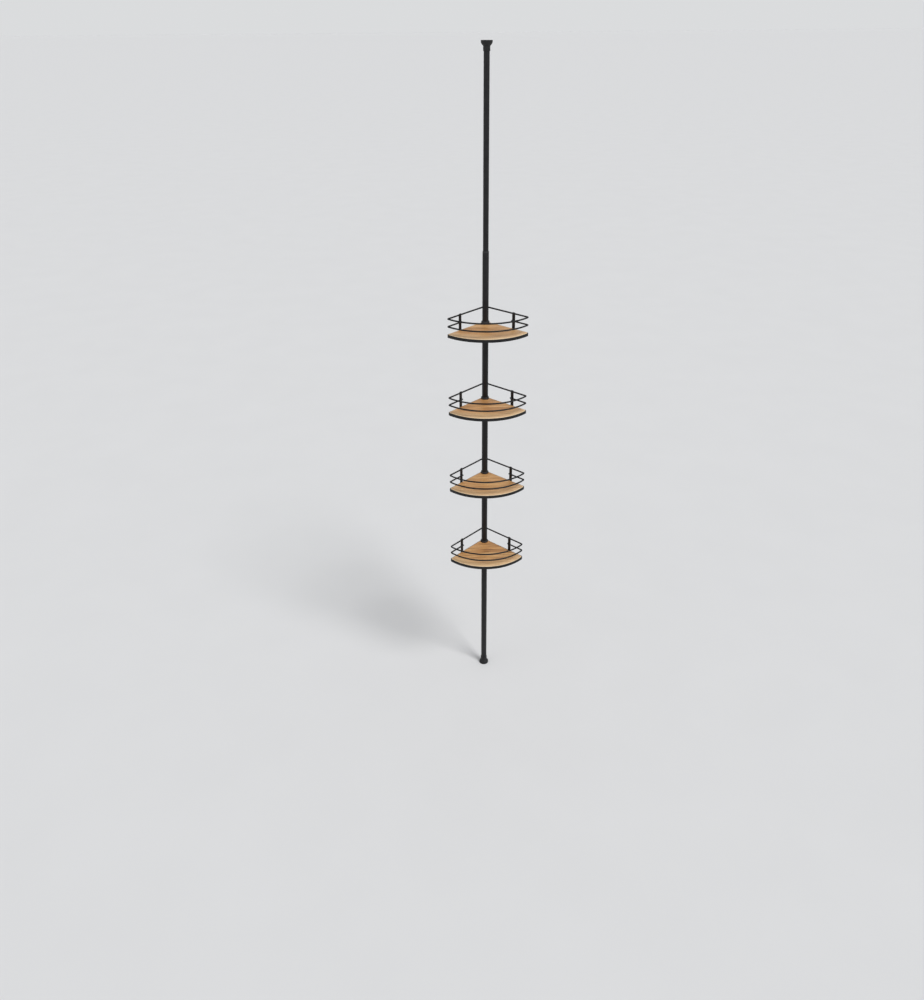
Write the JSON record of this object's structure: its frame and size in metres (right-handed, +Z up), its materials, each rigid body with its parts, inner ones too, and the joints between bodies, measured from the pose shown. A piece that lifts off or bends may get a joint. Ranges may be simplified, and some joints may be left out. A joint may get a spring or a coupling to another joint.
{
  "type": "shower caddy",
  "caption": "Floor-to-ceiling telescopic tension pole with quarter-round wooden corner shelves that slide and swivel, each in a flat-bar rim with wire guard rails.",
  "frame": {"origin": "centre of the floor foot's resting face, on the pole's axis", "axes": "+Z up along the pole, -Y towards the shelves' round fronts, +Y towards the room's corner, +X to the right seen from the front"},
  "size_m": [0.2744, 0.2011, 2.4],
  "materials": {
    "pole_coating": "matt black powder coat",
    "shelf_coating": "matt black powder coat",
    "board_wood": "satin sealed",
    "foot_rubber": "matt moulded",
    "black_plastic": "fine moulded texture",
    "joiner_steel": "zinc plated",
    "spring_steel": "drawn wire",
    "screw_steel": "zinc plated"
  },
  "bodies": {
    "pole": {"floor_foot": "foot_rubber", "foot_plug": "black_plastic", "lower_tube": "pole_coating", "middle_tube": "pole_coating", "upper_tube": "pole_coating", "lower_joiner": "joiner_steel", "upper_joiner": "joiner_steel", "guide_bush": "black_plastic", "spring_seat": "black_plastic", "tension_spring": "spring_steel"},
    "telescopic_section": {"telescopic_tube": "pole_coating", "telescopic_plug": "black_plastic", "ceiling_plug": "black_plastic", "ceiling_foot": "foot_rubber"},
    "collar_1": {"wedge_sleeve_1": "black_plastic"},
    "shelf_1": {"shelf_board_1": "board_wood", "shelf_rim_1": "shelf_coating", "support_bars_1": "shelf_coating", "shelf_hub_1": "shelf_coating", "hub_ring_1": "black_plastic", "board_screws_1": "screw_steel", "top_rail_1": "shelf_coating", "lower_rail_1": "shelf_coating", "rail_uprights_1": "shelf_coating"},
    "collar_2": {"wedge_sleeve_2": "black_plastic"},
    "shelf_2": {"shelf_board_2": "board_wood", "shelf_rim_2": "shelf_coating", "support_bars_2": "shelf_coating", "shelf_hub_2": "shelf_coating", "hub_ring_2": "black_plastic", "board_screws_2": "screw_steel", "top_rail_2": "shelf_coating", "lower_rail_2": "shelf_coating", "rail_uprights_2": "shelf_coating"},
    "collar_3": {"wedge_sleeve_3": "black_plastic"},
    "shelf_3": {"shelf_board_3": "board_wood", "shelf_rim_3": "shelf_coating", "support_bars_3": "shelf_coating", "shelf_hub_3": "shelf_coating", "hub_ring_3": "black_plastic", "board_screws_3": "screw_steel", "top_rail_3": "shelf_coating", "lower_rail_3": "shelf_coating", "rail_uprights_3": "shelf_coating"},
    "collar_4": {"wedge_sleeve_4": "black_plastic"},
    "shelf_4": {"shelf_board_4": "board_wood", "shelf_rim_4": "shelf_coating", "support_bars_4": "shelf_coating", "shelf_hub_4": "shelf_coating", "hub_ring_4": "black_plastic", "board_screws_4": "screw_steel", "top_rail_4": "shelf_coating", "lower_rail_4": "shelf_coating", "rail_uprights_4": "shelf_coating"}
  },
  "joints": [
    {"name": "ceiling_spring_slide", "type": "slide", "parent": "pole", "child": "telescopic_section", "axis": [0, 0, 1], "range_m": [-0.06, 0.03], "stiffness_N_per_m": 2000, "springref_m": 0.03, "deforming": ["tension_spring"]},
    {"name": "shelf_height_1", "type": "slide", "parent": "pole", "child": "collar_1", "axis": [0, 0, 1], "range_m": [-0.45, 0.1]},
    {"name": "shelf_swivel_1", "type": "hinge", "parent": "collar_1", "child": "shelf_1", "pos_m": [0, 0, 0.602], "axis": [0, 0, 1], "continuous": true},
    {"name": "shelf_height_2", "type": "slide", "parent": "pole", "child": "collar_2", "axis": [0, 0, 1], "range_m": [-0.1, 0.1]},
    {"name": "shelf_swivel_2", "type": "hinge", "parent": "collar_2", "child": "shelf_2", "pos_m": [0, 0, 0.908], "axis": [0, 0, 1], "continuous": true},
    {"name": "shelf_height_3", "type": "slide", "parent": "pole", "child": "collar_3", "axis": [0, 0, 1], "range_m": [-0.1, 0.1]},
    {"name": "shelf_swivel_3", "type": "hinge", "parent": "collar_3", "child": "shelf_3", "pos_m": [0, 0, 1.214], "axis": [0, 0, 1], "continuous": true},
    {"name": "shelf_height_4", "type": "slide", "parent": "pole", "child": "collar_4", "axis": [0, 0, 1], "range_m": [-0.1, 0.2]},
    {"name": "shelf_swivel_4", "type": "hinge", "parent": "collar_4", "child": "shelf_4", "pos_m": [0, 0, 1.501], "axis": [0, 0, 1], "continuous": true}
  ]
}
